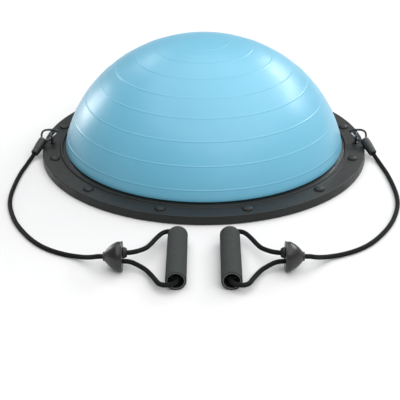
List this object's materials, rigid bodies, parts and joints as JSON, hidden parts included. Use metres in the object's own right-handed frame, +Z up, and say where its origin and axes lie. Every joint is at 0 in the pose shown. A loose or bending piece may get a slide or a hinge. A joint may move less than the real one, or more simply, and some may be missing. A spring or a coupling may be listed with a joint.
{
  "type": "balance dome trainer",
  "caption": "Inflated half-ball dome on a round rimmed platform, with an elastic band, clip, stopper cup and foam handle on each side.",
  "frame": {"origin": "on the floor under the middle of the dome, at the centre foot", "axes": "+Z up, -Y towards the handles and the user, X from left to right"},
  "size_m": [0.7168, 0.8678, 0.2313],
  "materials": {
    "platform_plastic": "charcoal satin moulded plastic with a fine grain",
    "dome_vinyl": "light blue satin vinyl with thin raised rings",
    "black_rubber": "black rubber",
    "hard_plastic": "dark grey moulded plastic",
    "dark_steel": "black nickel plated wire",
    "bright_steel": "polished steel",
    "braid": "dark woven sheath over an elastic core",
    "foam": "dark grey closed-cell foam"
  },
  "bodies": {
    "base": {"base_platform": "platform_plastic", "clamp_ring": "platform_plastic", "rim_screw_1": "platform_plastic", "rim_screw_2": "platform_plastic", "rim_screw_3": "platform_plastic", "rim_screw_4": "platform_plastic", "rim_screw_5": "platform_plastic", "rim_screw_6": "platform_plastic", "rim_screw_7": "platform_plastic", "rim_screw_8": "platform_plastic", "rim_screw_9": "platform_plastic", "rim_screw_10": "platform_plastic", "rim_screw_11": "platform_plastic", "rim_screw_12": "platform_plastic", "dome_membrane": "dome_vinyl", "seal_ring": "black_rubber", "valve_seat": "black_rubber", "centre_foot": "black_rubber", "rubber_foot_1": "black_rubber", "rubber_foot_2": "black_rubber", "rubber_foot_3": "black_rubber", "rubber_foot_4": "black_rubber", "rubber_foot_5": "black_rubber", "rubber_foot_6": "black_rubber", "left_anchor_eye": "dark_steel", "left_anchor_washer": "dark_steel", "left_anchor_nut": "dark_steel", "right_anchor_eye": "dark_steel", "right_anchor_washer": "dark_steel", "right_anchor_nut": "dark_steel"},
    "valve_plug": {"valve_plug": "hard_plastic"},
    "left_band": {"left_hook": "dark_steel", "left_gate_pin": "dark_steel", "left_end_cap": "hard_plastic", "left_cord_crimp": "bright_steel", "left_band_cord": "braid", "left_stopper_cup": "hard_plastic", "left_loop_hub": "black_rubber", "left_loop_cord": "braid"},
    "left_gate": {"left_gate": "bright_steel"},
    "left_grip": {"left_grip_core": "hard_plastic", "left_grip_collar_far": "hard_plastic", "left_grip_collar_near": "hard_plastic", "left_foam_grip": "foam"},
    "right_band": {"right_hook": "dark_steel", "right_gate_pin": "dark_steel", "right_end_cap": "hard_plastic", "right_cord_crimp": "bright_steel", "right_band_cord": "braid", "right_stopper_cup": "hard_plastic", "right_loop_hub": "black_rubber", "right_loop_cord": "braid"},
    "right_gate": {"right_gate": "bright_steel"},
    "right_grip": {"right_grip_core": "hard_plastic", "right_grip_collar_far": "hard_plastic", "right_grip_collar_near": "hard_plastic", "right_foam_grip": "foam"}
  },
  "joints": [
    {"name": "valve_plug_pull", "type": "slide", "parent": "base", "child": "valve_plug", "axis": [0, 0, -1], "range_m": [0, 0.012]},
    {"name": "left_band_lift", "type": "hinge", "parent": "base", "child": "left_band", "pos_m": [-0.303, -0.003, 0.0297], "axis": [-1, 0, 0], "range_deg": [0, 60]},
    {"name": "left_gate_swing", "type": "hinge", "parent": "left_band", "child": "left_gate", "pos_m": [-0.30868, -0.01188, 0.0273], "axis": [0.3935, -0.6288, 0.6706], "range_deg": [0, 6], "stiffness_Nm_per_rad": 0.02, "springref_deg": -11.46},
    {"name": "left_grip_spin", "type": "hinge", "parent": "left_band", "child": "left_grip", "pos_m": [-0.044, -0.4595, 0.017], "axis": [0, 1, 0], "continuous": true},
    {"name": "right_band_lift", "type": "hinge", "parent": "base", "child": "right_band", "pos_m": [0.303, -0.003, 0.0297], "axis": [-1, 0, 0], "range_deg": [0, 60]},
    {"name": "right_gate_swing", "type": "hinge", "parent": "right_band", "child": "right_gate", "pos_m": [0.30868, -0.01188, 0.0273], "axis": [0.3935, 0.6288, -0.6706], "range_deg": [0, 6], "stiffness_Nm_per_rad": 0.02, "springref_deg": -11.46},
    {"name": "right_grip_spin", "type": "hinge", "parent": "right_band", "child": "right_grip", "pos_m": [0.044, -0.4595, 0.017], "axis": [0, 1, 0], "continuous": true}
  ]
}
